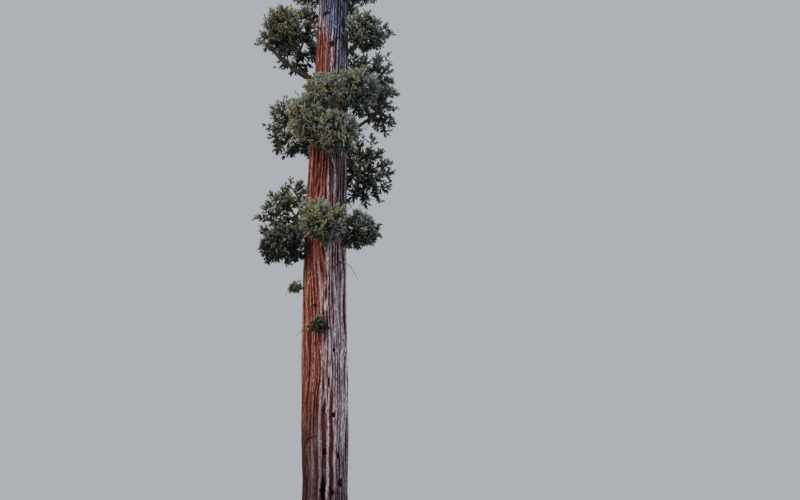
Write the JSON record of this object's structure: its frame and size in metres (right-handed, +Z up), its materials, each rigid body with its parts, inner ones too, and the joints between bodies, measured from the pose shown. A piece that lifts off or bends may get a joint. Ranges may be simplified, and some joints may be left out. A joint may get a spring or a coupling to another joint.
{
  "type": "giant sequoia tree",
  "caption": "Tall evergreen conifer with a massive fluted red-brown trunk, a flared foot, upswept boughs and rounded masses of grey-green sprays.",
  "frame": {"origin": "middle of the flat cut under the trunk, at ground level", "axes": "+Z up along the trunk, -Y towards the side that the picture shows, +X to the right in the picture"},
  "size_m": [7.7262, 7.7596, 40],
  "materials": {
    "bark": "rough fibrous bark",
    "bough_bark": "rough bark",
    "dead_wood": "weathered bare wood",
    "foliage": "matte sprays of scale leaves"
  },
  "bodies": {
    "root": {"bough_back_1": "bough_bark", "bough_back_2": "bough_bark", "bough_back_3": "bough_bark", "bough_back_4": "bough_bark", "bough_back_5": "bough_bark", "bough_high_front": "bough_bark", "bough_high_left": "bough_bark", "bough_high_right": "bough_bark", "bough_low_front": "bough_bark", "bough_low_left": "bough_bark", "bough_low_right": "bough_bark", "bough_mid_far_right": "bough_bark", "bough_mid_left": "bough_bark", "bough_mid_low_right": "bough_bark", "bough_mid_right": "bough_bark", "bough_mid_top": "bough_bark", "bough_upper_1": "bough_bark", "bough_upper_2": "bough_bark", "bough_upper_3": "bough_bark", "bough_upper_4": "bough_bark", "bough_upper_5": "bough_bark", "dead_branch_front": "dead_wood", "dead_branch_left": "dead_wood", "dead_branch_right": "dead_wood", "foliage_back_1": "foliage", "foliage_back_2": "foliage", "foliage_back_3": "foliage", "foliage_back_4": "foliage", "foliage_back_5": "foliage", "foliage_high_front": "foliage", "foliage_high_left": "foliage", "foliage_high_right": "foliage", "foliage_low_front": "foliage", "foliage_low_left": "foliage", "foliage_low_right": "foliage", "foliage_mid_far_right": "foliage", "foliage_mid_left": "foliage", "foliage_mid_low_right": "foliage", "foliage_mid_right": "foliage", "foliage_mid_top": "foliage", "foliage_sprig_front": "foliage", "foliage_sprig_left": "foliage", "foliage_top_1": "foliage", "foliage_top_2": "foliage", "foliage_top_3": "foliage", "foliage_upper_1": "foliage", "foliage_upper_10": "foliage", "foliage_upper_11": "foliage", "foliage_upper_12": "foliage", "foliage_upper_13": "foliage", "foliage_upper_2": "foliage", "foliage_upper_3": "foliage", "foliage_upper_4": "foliage", "foliage_upper_5": "foliage", "foliage_upper_6": "foliage", "foliage_upper_7": "foliage", "foliage_upper_8": "foliage", "foliage_upper_9": "foliage", "trunk": "bark"}
  },
  "joints": []
}
